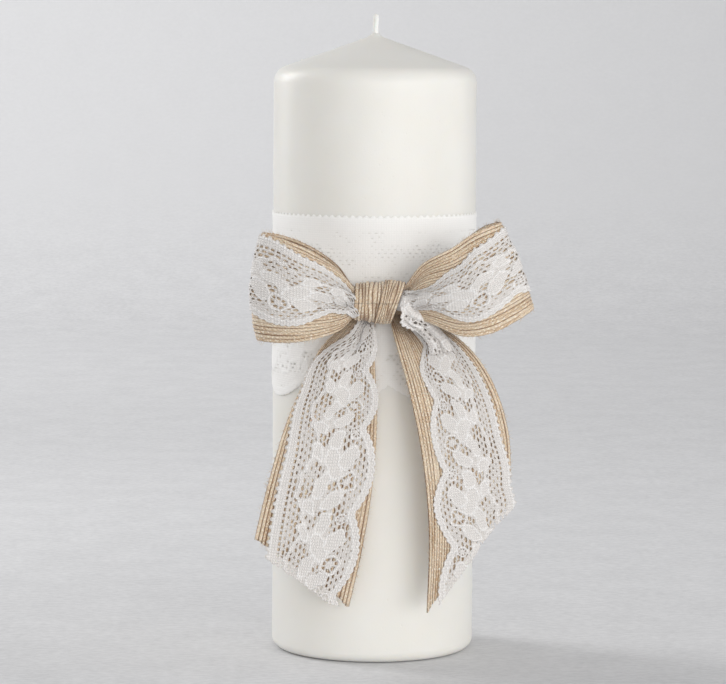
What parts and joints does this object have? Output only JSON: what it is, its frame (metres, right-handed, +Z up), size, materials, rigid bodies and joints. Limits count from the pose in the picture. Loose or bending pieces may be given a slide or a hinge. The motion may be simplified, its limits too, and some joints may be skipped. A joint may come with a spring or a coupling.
{
  "type": "unity candle",
  "caption": "Tall ivory pillar candle with a shallow cone top and cotton wick, a lace band round its middle, and a bow of corded jute ribbon under lace ribbon, tied with a jute knot.",
  "frame": {"origin": "middle of the candle's base, on the surface it stands on", "axes": "+Z up along the wick; the bow faces -Y; +X is to the right seen from the front"},
  "size_m": [0.1033, 0.1015, 0.2396],
  "materials": {
    "wax_overdip": "satin ivory wax",
    "wax_core": "matt pressed wax",
    "wick_cotton": "waxed cotton braid",
    "tinplate": "stamped tinplate",
    "ivory_lace": "ivory raschel lace",
    "clear_tape": "clear double-sided tape",
    "jute": "corded faux jute with a golden glint",
    "white_lace": "off-white corded lace",
    "floral_wire": "soft floral wire",
    "hot_glue": "set hot-melt glue"
  },
  "bodies": {
    "candle": {"wax_core": "wax_core", "wax_overdip": "wax_overdip", "wick": "wick_cotton", "wick_sustainer": "tinplate", "lace_band": "ivory_lace", "band_seam_tape": "clear_tape", "jute_loop_left": "jute", "lace_loop_left": "white_lace", "jute_loop_right": "jute", "lace_loop_right": "white_lace", "jute_tail_left_top": "jute", "lace_tail_left_top": "white_lace", "jute_tail_right_top": "jute", "lace_tail_right_top": "white_lace", "knot_wrap": "jute", "tie_wire": "floral_wire", "glue_pad": "hot_glue"},
    "left_tail": {"jute_tail_left": "jute", "lace_tail_left": "white_lace"},
    "right_tail": {"jute_tail_right": "jute", "lace_tail_right": "white_lace"}
  },
  "joints": [
    {"name": "left_tail_swing", "type": "hinge", "parent": "candle", "child": "left_tail", "pos_m": [-0.0093, -0.0439, 0.1183], "axis": [-0.9986, -0.0523, 0], "range_deg": [0, 60]},
    {"name": "right_tail_swing", "type": "hinge", "parent": "candle", "child": "right_tail", "pos_m": [0.0199, -0.0432, 0.1195], "axis": [-0.975, -0.211, -0.0694], "range_deg": [0, 60]}
  ]
}
